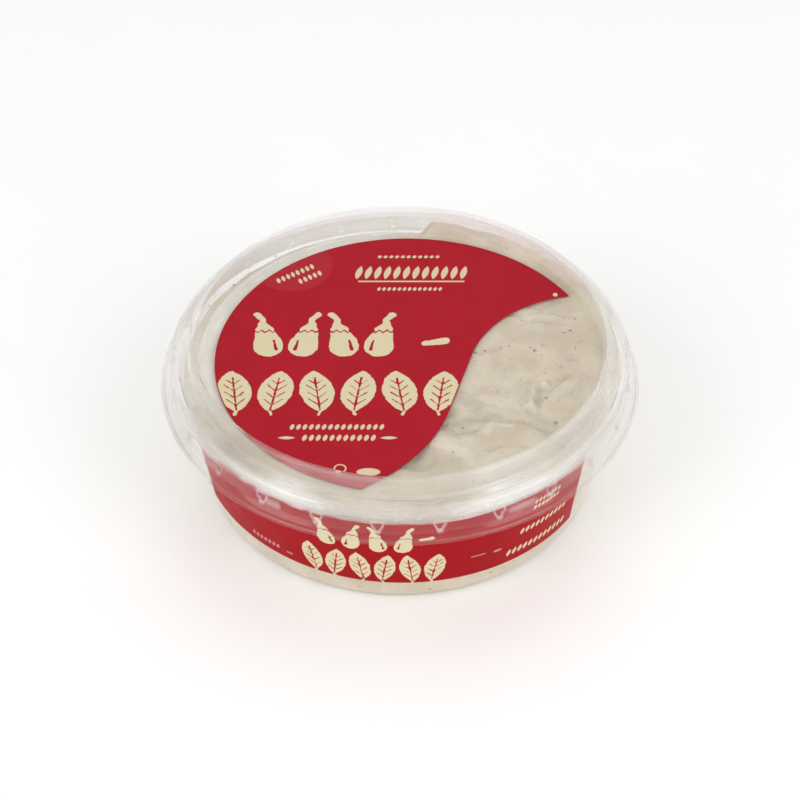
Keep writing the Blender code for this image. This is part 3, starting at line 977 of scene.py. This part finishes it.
def clear_material(name, haze_of, roughness):
    """Clear thermoformed plastic, too thin to bend sight: gloss, a little haze, and no shadow."""
    nodes = new_nodes(name)
    place = nodes.place()
    x, y, z = nodes.xyz(place)
    drawn = nodes.grain(place, 0.22, 2.0, 0.5, (1.0, 1.0, 0.35))
    fine = nodes.grain(place, 2.6, 3.0, 0.6)
    glass = nodes.principled({
        "Base Color": (0.99, 0.989, 0.986),
        "Roughness": 0.0,
        "IOR": 1.01,
        "Transmission Weight": 1.0,
        "Coat Weight": nodes.mask("gloss"),
        "Coat IOR": 1.3,
        "Coat Roughness": roughness,
    })
    milk = nodes.principled({
        "Base Color": nodes.mix(nodes.mask("grey"), MILK_WHITE, MILK_GREY),
        "Roughness": 0.35,
        "IOR": 1.45,
        "Normal": nodes.bump(drawn + fine * 0.05, 0.16 * MM),
    })
    shader = nodes.blend(haze_of(nodes, place, x, y, z), glass, milk)
    passed = nodes.add("ShaderNodeBsdfTransparent", {}, {"Color": (0.985, 0.985, 0.982)})
    for ray in ("Is Diffuse Ray", "Is Shadow Ray"):
        shader = nodes.blend(nodes.add("ShaderNodeLightPath", {}, {}, ray), shader, passed)
    return nodes.finish(shader)


def tub_plastic(tub):
    def haze(nodes, place, x, y, z):
        lines = nodes.step(0.3, 0.7, nodes.drawn_lines(x, y, z, 1.5))
        cloud = nodes.step(0.3, 0.7, nodes.grain(place, 0.3, 3.0))
        # Painted glints: bright specks of haze in the milky rim, standing in for small reflections.
        painted_glints = nodes.step(0.60, 0.68, nodes.grain(place, 0.9, 2.0, 0.6))
        streaks = 0.5 + lines * 0.5 + cloud * 0.2 + painted_glints * 0.5
        # The milky rim, partly painted highlight and painted glints.
        return tub.haze + nodes.mask("veil_and_highlight") * streaks * tub.rim_haze

    return clear_material("clear tub plastic", haze, 0.06)


def lid_plastic(lid):
    def haze(nodes, place, x, y, z):
        # The edge of the panel is veiled whiter towards its left and back. Heights are in mm.
        airy_side = nodes.step(14.0, 34.0, y * 0.545 - x * 0.839)
        cloud = nodes.step(0.25, 0.75, nodes.grain(place, 0.12, 3.0))
        on_panel = nodes.step(35.2, 34.6, z) * nodes.step(44.0, 47.2, distance(x, y))
        panel_whitening = on_panel * airy_side * (0.75 + cloud * 0.5)
        lines = nodes.step(0.4, 0.75, nodes.drawn_lines(x, y, z, 1.3))
        wall = nodes.step(35.4, 36.0, z)
        # Milky drawn walls, partly painted highlight where the shoulder and the skirt's top are
        # whiter.
        drawn = nodes.mask("veil_and_highlight") * (0.7 + lines * 0.6) * lid.veil_and_highlight + wall * lines * 0.04
        # Milky lines along the profile's bends and round the lugs: whitening of the drawn plastic,
        # and along the bends also painted highlight.
        bent = nodes.mask("bends") * 0.045 + nodes.mask("folds") * 0.36
        # Painted highlights: two patches of white haze on the skirt, left and right of the front,
        # where the soft boxes are reflected.
        turn = azimuth_of(x, y)
        level = nodes.step(30.6, 31.2, z) * nodes.step(33.2, 32.5, z)
        left_highlight = nodes.step(0.045, 0.025, abs(turn + 0.540))
        right_highlight = nodes.step(0.085, 0.04, abs(turn - 0.515))
        painted_sheen = level * left_highlight.most(right_highlight) * (0.13 + lines * 0.1)
        return lid.haze + panel_whitening * lid.panel_whitening + drawn + bent + painted_sheen

    return clear_material("clear lid plastic", haze, 0.12)


def dip_material(dip):
    """Moist pale dip: mottled cream, streaks of aubergine flesh and the finest dark grains."""
    nodes = new_nodes("baba ganoush")
    place = nodes.place()
    x, y, z = nodes.xyz(place)
    broad = nodes.grain(place, 0.09, 3.0, 0.55)
    flesh = nodes.grain(place, 0.42, 5.0, 0.62, (1.0, 1.35, 1.0))
    pulp = nodes.grain(place, 2.4, 4.0, 0.6)
    veins = nodes.step(0.03, 0.0, abs(flesh - 0.5)) * nodes.step(0.45, 0.62, broad)
    cells = {"Vector": place, "Scale": 0.85, "Randomness": 1.0}
    dots = nodes.step(0.34, 0.1, nodes.add("ShaderNodeTexVoronoi", {"feature": "F1"}, cells))
    rare = nodes.step(0.56, 0.66, nodes.grain(place, 0.6, 1.0))
    ragged = nodes.step(0.25, 0.6, flesh)
    collar = nodes.step(33.6, 34.3, z)
    stains = nodes.step(0.5, 0.66, nodes.drawn_lines(x, y, z, 0.42)) * 0.5
    # Painted shade: the collar is darker round 45 degrees left of the front, where it shows through
    # the ring.
    shade_left_front = nodes.step(0.22, 0.07, abs(azimuth_of(x, y) + 0.79))
    stains_and_shade = (stains * nodes.step(12.0, -8.0, y)).most(shade_left_front) * collar
    tone = nodes.mix(nodes.step(0.32, 0.68, broad), dip.pale, dip.warm)
    for mask, over in (
        (veins * 0.35, dip.mauve),
        (nodes.step(0.64, 0.74, flesh) * 0.35, dip.mauve),
        (dots * rare * 0.6, dip.spot),
        (nodes.mask("flesh") * (0.25 + ragged * 0.35), dip.mauve),
        (nodes.mask("cream") * 0.45, dip.cream),
        # Painted shadow of the lid label along its cut.
        (nodes.mask("margin") * 0.40, dip.margin),
        # Brownish streaks in the collar, and the painted shade at its left front.
        (stains_and_shade, dip.stain_and_shade),
    ):
        tone = nodes.mix(mask, tone, over)
    return nodes.finish(nodes.principled({
        "Base Color": tone,
        "Roughness": 0.34 + pulp * 0.2,
        "IOR": 1.42,
        "Subsurface Weight": 0.35,
        "Subsurface Radius": (1.0, 0.75, 0.5),
        "Subsurface Scale": 1.6 * MM,
        "Normal": nodes.bump(pulp * 0.6 + flesh * 0.9, 0.1 * MM),
    }))


def fleck_material(name, tone):
    """Charred or browned crumbs, a little uneven in colour and moist."""
    nodes = new_nodes(name)
    patch = nodes.step(0.3, 0.7, nodes.grain(nodes.place(), 1.6, 3.0, 0.6))
    light = tuple(min(1.0, c * 2.1 + 0.03) for c in tone)
    return nodes.finish(nodes.principled({
        "Base Color": nodes.mix(patch, tone, light),
        "Roughness": 0.35 + patch * 0.2,
        "Normal": nodes.bump(patch, 0.05 * MM),
    }))


# Print: each shape is a distance outside its outline in mm, negative inside.


def nearest(*shapes):
    """Several shapes as one."""
    return functools.reduce(Wire.least, shapes)


def within(shape, *bounds):
    """The part of a shape that lies inside all the bounds."""
    return functools.reduce(Wire.most, bounds, shape)


def ellipse(x, y, cx, cy, half_x, half_y):
    return (distance((x - cx) / half_x, (y - cy) / half_y) - 1.0) * min(half_x, half_y)


def bar(x, y, cx, cy, half_x, half_y):
    return (abs(x - cx) - half_x).most(abs(y - cy) - half_y)


def club(x, y, start, end, start_radius, end_radius):
    """A rounded bar whose ends have their own radii."""
    dx, dy = end[0] - start[0], end[1] - start[1]
    px, py = x - start[0], y - start[1]
    t = ((px * dx + py * dy) / (dx * dx + dy * dy)).most(0.0).least(1.0)
    return distance(px - t * dx, py - t * dy) - (t * (end_radius - start_radius) + start_radius)


def lens(x, y, half_x, half_y):
    """A pointed oval round the origin."""
    radius = (half_x * half_x + half_y * half_y) / (2 * half_x)
    return distance(abs(x) + (radius - half_x), y) - radius


def row(x, y, left, count, pitch, middle):
    """Coordinates round the middle of each place in a row, its number, and the row's bounds."""
    cell = (x - left) / pitch
    index = cell.floor()
    half = count * pitch / 2
    return (cell - index - 0.5) * pitch, y - middle, index, abs(x - (left + half)) - half


def fruits(x, y, left, count, pitch, middle, half):
    """A row of aubergines: plump bodies under toothed caps, with crooked stalks."""
    u, v, index, ends = row(x, y, left, count, pitch, middle)
    size = half / 7.6
    u, v = u * (index.zigzag(1.0) * 2.0 - 1.0) / size, v / size
    body = nearest(
        club(u, v, (-0.35, -4.1), (-0.2, -2.9), 3.3, 3.2),
        club(u, v, (-0.2, -2.9), (0.95, 1.7), 3.2, 1.9),
    )
    teeth = (u + 9.6).zigzag(0.85)
    cap = within(club(u, v, (0.9, 1.7), (1.4, 3.5), 2.25, 1.0), 1.0 + teeth - v)
    shine = club(u, v, (-2.1, -5.0), (-1.5, -2.0), 0.4, 0.24)
    body = within(body, 0.45 - cap, 0.0 - shine)
    stalk = nearest(
        club(u, v, (1.4, 3.6), (1.3, 5.3), 0.85, 0.65),
        club(u, v, (1.3, 5.3), (2.7, 7.0), 0.65, 0.85),
    )
    return within(nearest(body, cap, stalk) * size, ends)


def leaves(x, y, left, count, pitch, middle, half):
    """A row of pointed leaves, leaning by turns, cut through by their veins."""
    u, v, index, ends = row(x, y, left, count, pitch, middle)
    size = half / 8.0
    u, v = (u * (index.zigzag(1.0) * 2.0 - 1.0) - v * 0.14) / size, v / size
    midrib = bar(u, v, 0.0, -1.2, 0.24, 6.2)
    comb = (v - abs(u) * 0.95 + 20.0).zigzag(1.25)
    veins = within(comb - 0.2, abs(u) - 2.3, abs(v + 0.6) - 4.6)
    blade = within(lens(u, v, 0.42 * pitch / size, 7.4), 0.0 - midrib, 0.0 - veins)
    stem = club(u, v, (0.0, -7.2), (0.5, -8.3), 0.32, 0.4)
    return within(nearest(blade, stem) * size, ends)


def seeds(x, y, left, right, middle, half, pitch):
    """A row of small slanted seeds."""
    u, v, _, ends = row(x, y, left, round((right - left) / pitch), pitch, middle)
    return within(lens(u - v * 0.22, v, 0.34 * pitch, half), ends)


def disc_design(x, y, z):
    """Lid label: aubergines over leaves, with rows of seeds and small marks round them."""
    large = nearest(
        fruits(x, y, -37.4, 4, 9.3, 7.9, 8.4),
        club(x, y, (6.2, 4.6), (11.0, 5.6), 0.9, 1.25),
        leaves(x, y, -44.6, 6, 9.9, -12.9, 7.9),
    )
    right, up = x + 25.6, y - 30.8
    along, above = right * 0.82 + up * 0.57, up * 0.82 - right * 0.57
    small = nearest(
        seeds(x, y, -26.0, -3.0, -25.4, 1.0, 1.5),
        seeds(x, y, -23.0, -6.0, -29.1, 1.1, 1.6),
        lens(y + 29.1, x + 26.4, 0.5, 2.0),
        lens(y + 29.1, x + 2.6, 0.5, 2.0),
        seeds(x, y, -11.8, 17.6, 32.6, 2.7, 2.45),
        bar(x, y, 2.9, 29.0, 13.6, 0.28),
        seeds(x, y, -6.0, 11.0, 25.9, 0.75, 1.3),
        seeds(x, y, -6.0, 11.0, 39.2, 0.6, 1.5),
        abs(ellipse(x, y, -13.7, -39.3, 1.3, 1.3)) - 0.17,
        ellipse(x, y, -7.2, -40.4, 2.7, 1.25),
        seeds(along, above, -6.1, 6.1, 1.9, 1.1, 1.45),
        seeds(along, above, -1.6, 5.7, -1.5, 1.1, 1.45),
        ellipse(x, y, 39.4, 23.6, 0.6, 0.75),
    )
    return {"large": large, "small": small, "faint": ellipse(x, y, -27.8, 35.4, 10.4, 10.4)}


WALL_RADIUS = 50.5  # in mm, half way up the strip


def strip_design(x, y, z):
    """Strip label: the same shapes, smaller, laid out along the wall."""
    along = azimuth_of(x, y) * WALL_RADIUS
    up = z + along * 0.012
    large = nearest(
        fruits(along, up, -19.8, 4, 5.9, 24.0, 4.7),
        club(along, up, (4.6, 24.2), (6.9, 24.5), 0.5, 0.7),
        leaves(along, up, -23.8, 6, 5.8, 13.0, 5.6),
    )
    small = nearest(
        seeds(along, up, 31.7, 39.7, 27.1, 0.8, 1.15),
        seeds(along, up, 31.7, 39.7, 24.9, 0.7, 1.15),
        seeds(along, up, 29.0, 43.4, 17.6, 1.1, 1.5),
        seeds(along, up, 26.0, 45.8, 10.9, 1.2, 1.6),
    )
    pale = nearest(
        seeds(along, up, -38.8, -30.4, 10.4, 0.85, 1.25),
        bar(along, up, -27.3, 10.0, 0.8, 0.3),
        bar(along, up, 18.5, 14.3, 1.8, 0.2),
        ellipse(along, up, 23.4, 13.9, 1.1, 0.45),
    )
    return {"large": large, "small": small, "pale": pale}


def label_material(name, labels, ground, cut_tone, design):
    """Satin printed film: red ground, cream shapes with hand-cut edges, bare cut edge."""
    nodes = new_nodes(name)
    place = nodes.place()
    x, y, z = nodes.xyz(place)
    wobble = nodes.grain(place, 0.55, 3.0, 0.6)
    nick = nodes.grain(place, 1.7, 3.0, 0.65)
    shade = nodes.grain(place, 0.16, 3.0, 0.5)
    shapes = design(x, y, z)
    rough_cut = (wobble - 0.5) * 0.7 + (nick - 0.5) * 0.45
    ink = nodes.step(0.09, -0.09, shapes["large"] + rough_cut)
    worn = nodes.step(0.66, 0.72, nick) * nodes.step(-1.3, -0.2, shapes["large"])
    ink = (ink * (1.0 - worn)).most(nodes.step(0.07, -0.07, shapes["small"]) * 0.94)
    darker, lighter = tuple(c * 0.93 for c in ground), tuple(c * 0.98 + 0.012 for c in ground)
    tone = nodes.mix(nodes.step(0.3, 0.7, shade), ground, darker)
    if "faint" in shapes:
        tone = nodes.mix(nodes.step(0.1, -0.1, shapes["faint"]), tone, lighter)
    if "pale" in shapes:
        pale = nodes.step(0.12, -0.12, shapes["pale"]) * 0.75
        tone = nodes.mix(pale, tone, labels.pale_mark)
    tone = nodes.mix(ink, tone, labels.cream)
    dust = nodes.step(0.74, 0.78, nodes.grain(place, 3.1, 1.0)) * 0.35
    tone = nodes.mix(dust * (1.0 - ink), tone, tuple(c * 0.72 for c in ground))
    return nodes.finish(nodes.principled({
        "Base Color": nodes.mix(nodes.step(0.2, 0.7, nodes.mask("bare_edge")), tone, cut_tone),
        "Roughness": 0.36 + nick * 0.1 - ink * 0.03,
        "IOR": 1.45,
        "Specular IOR Level": 0.08,
        "Normal": nodes.bump(shade * 0.9 + nick * 0.05 + ink * 0.06, 0.12 * MM),
    }))


# Stage

SOFT_BOXES = [  # azimuth and elevation in degrees, distance, width, height, share of the radiance
    ("soft box left", -54, 28, 0.9, 0.45, 0.75, 1.0),
    ("soft box right", 53, 28, 0.9, 0.45, 0.75, 1.0),
    ("soft box back", 170, 62, 1.0, 0.6, 0.4, 0.3),
]


def floor_mesh(radius):
    """A wide round floor whose edge turns up a little, out of sight."""
    rings = np.concatenate([[0], np.linspace(0.1, 0.8, 8), [0.9, 0.95, 1.0]]) * radius
    top = np.stack([rings, np.maximum(rings - 0.85 * radius, 0) * 0.2], 1)
    columns, thickness = 96, (0, 0.01)
    profile = np.vstack([top, (top - thickness)[::-1]])
    return shell("floor", np.arange(columns) * tau / columns, *spun(profile, columns), {})


def floor_material(tone, glow):
    """Matt pale floor that is lit a little from within, as a light table is."""
    nodes = new_nodes("pale floor")
    speckle = nodes.grain(nodes.place(), 0.05, 2.0)
    return nodes.finish(nodes.principled({
        "Base Color": nodes.mix(speckle, tone, tuple(c * 0.985 for c in tone)),
        "Roughness": 0.5 + speckle * 0.05,
        "IOR": 1.3,
        "Emission Color": (1.0, 1.0, 1.0),
        "Emission Strength": glow,
    }))


def soft_box(name, azimuth, elevation, distance, width, height, radiance):
    """A rectangular lamp turned to the tub, of that radiance whatever its size."""
    lamp = bpy.data.lights.new(name, "AREA")
    lamp.shape = "RECTANGLE"
    lamp.size, lamp.size_y = width, height
    lamp.energy = radiance * pi * width * height
    e = radians(elevation)
    out = Vector(turned(radians(azimuth), cos(e), sin(e)))
    box = bpy.data.objects.new(name, lamp)
    bpy.context.scene.collection.objects.link(box)
    box.location = out * distance
    box.rotation_euler = out.to_track_quat("Z", "Y").to_euler()


# Operators


class DIPTUB_OT_tub(Operator):
    """Build the clear tub"""

    bl_idname = "diptub.tub"
    bl_label = "Tub"

    def execute(self, context):
        tub = context.scene.dip_tub.tub
        added("tub_shell", tub_mesh(tub), tub_plastic(tub), "tub")
        return {"FINISHED"}


class DIPTUB_OT_lid(Operator):
    """Build the clear lid with its stacking ring and snap lugs"""

    bl_idname = "diptub.lid"
    bl_label = "Lid"

    def execute(self, context):
        settings = context.scene.dip_tub
        mesh = lid_mesh(settings.lid, settings.tub)
        added("lid_shell", mesh, lid_plastic(settings.lid), "lid")
        return {"FINISHED"}


class DIPTUB_OT_dip(Operator):
    """Build the dip"""

    bl_idname = "diptub.dip"
    bl_label = "Dip"

    def execute(self, context):
        settings = context.scene.dip_tub
        mesh = dip_mesh(settings.dip, settings.lid, settings.tub, settings.labels)
        added("dip_body", mesh, dip_material(settings.dip), "dip", sharp=80.0)
        return {"FINISHED"}


class DIPTUB_OT_flecks(Operator):
    """Scatter the flecks of charred skin and browned flesh over the dip"""

    bl_idname = "diptub.flecks"
    bl_label = "Flecks"

    def execute(self, context):
        settings = context.scene.dip_tub
        dip = settings.dip
        around = dip, settings.lid, settings.tub
        dark = SEEN_FLECKS, STUCK_FLECKS, dip.dark_flecks, DARK_SEED, (0.2, 0.65)
        brown = SEEN_BROWN_FLECKS, [], dip.brown_flecks, BROWN_SEED, (0.4, 1.0)
        for name, scatter, tone in (
            ("dark_flecks", dark, dip.fleck_dark),
            ("brown_flecks", brown, dip.fleck_brown),
        ):
            material = fleck_material(name.replace("_", " "), tone)
            added(name, fleck_mesh(name, *around, *scatter), material, sharp=60.0)
        return {"FINISHED"}


class DIPTUB_OT_lid_label(Operator):
    """Build the die-cut label in the lid's recess"""

    bl_idname = "diptub.lid_label"
    bl_label = "Lid Label"

    def execute(self, context):
        labels = context.scene.dip_tub.labels
        mesh = disc_label_mesh(labels, context.scene.dip_tub.lid)
        tones = labels.red, labels.disc_edge
        film = label_material("lid label print", labels, *tones, disc_design)
        added("lid_label_film", mesh, film, "lid_label")
        return {"FINISHED"}


class DIPTUB_OT_side_label(Operator):
    """Build the strip label round the front of the tub"""

    bl_idname = "diptub.side_label"
    bl_label = "Side Label"

    def execute(self, context):
        labels = context.scene.dip_tub.labels
        mesh = strip_label_mesh(labels, context.scene.dip_tub.tub)
        tones = labels.deep_red, labels.strip_edge
        film = label_material("side label print", labels, *tones, strip_design)
        added("side_label_film", mesh, film, "side_label")
        return {"FINISHED"}


class DIPTUB_OT_stage(Operator):
    """Set the floor, the soft lights and the camera"""

    bl_idname = "diptub.stage"
    bl_label = "Stage"

    def execute(self, context):
        scene, stage = context.scene, context.scene.dip_tub.stage
        floor = bpy.data.objects.new("floor", floor_mesh(stage.floor_radius))
        floor.data.shade_smooth()
        floor.data.materials.append(floor_material(stage.floor, stage.glow))
        scene.collection.objects.link(floor)
        nodes = Nodes(bpy.data.worlds.new("white surroundings"))
        sky = {"Color": (1.0, 1.0, 1.0), "Strength": stage.sky}
        sky = nodes.add("ShaderNodeBackground", {}, sky)
        scene.world = nodes.finish(sky, "ShaderNodeOutputWorld")
        for *box, strength in SOFT_BOXES:
            soft_box(*box, stage.soft_box * strength)
        camera = bpy.data.cameras.new("camera")
        camera.lens, camera.sensor_width, camera.clip_start = stage.lens, 36.0, 0.01
        eye = bpy.data.objects.new("camera", camera)
        scene.collection.objects.link(eye)
        up, away = stage.camera_elevation, stage.camera_distance
        eye.location = (0.0, -away * cos(up), LID_LOW.z + away * sin(up))
        eye.rotation_euler = (pi / 2 - up - stage.camera_pitch, 0.0, 0.0)
        scene.camera = eye
        scene.view_settings.view_transform = "Standard"
        # Sight passes many thin walls before it reaches the far side of the lid.
        for kind in ("max", "transmission", "glossy", "transparent_max"):
            setattr(scene.cycles, kind + "_bounces", stage.bounces)
        return {"FINISHED"}


class DIPTUB_PT_panel(Panel):
    """The tub's pieces, in the order in which they are built"""

    bl_idname = "DIPTUB_PT_panel"
    bl_label = "Dip Tub"
    bl_space_type = "VIEW_3D"
    bl_region_type = "UI"
    bl_category = "Dip Tub"

    def draw(self, context):
        for operator in OPERATORS:
            self.layout.operator(operator.bl_idname)


OPERATORS = (
    DIPTUB_OT_tub,
    DIPTUB_OT_lid,
    DIPTUB_OT_dip,
    DIPTUB_OT_flecks,
    DIPTUB_OT_lid_label,
    DIPTUB_OT_side_label,
    DIPTUB_OT_stage,
)
SETTINGS = (TubSettings, LidSettings, DipSettings, LabelSettings, StageSettings, DipTubSettings)
CLASSES = (*SETTINGS, *OPERATORS, DIPTUB_PT_panel)


def register():
    for cls in CLASSES:
        bpy.utils.register_class(cls)
    bpy.types.Scene.dip_tub = PointerProperty(type=DipTubSettings)


def unregister():
    del bpy.types.Scene.dip_tub
    for cls in reversed(CLASSES):
        bpy.utils.unregister_class(cls)


def main():
    register()
    pieces = bpy.ops.diptub
    for build in (
        pieces.tub, pieces.lid, pieces.dip, pieces.flecks,
        pieces.lid_label, pieces.side_label, pieces.stage,
    ):
        build()


if __name__ == "__main__":
    main()
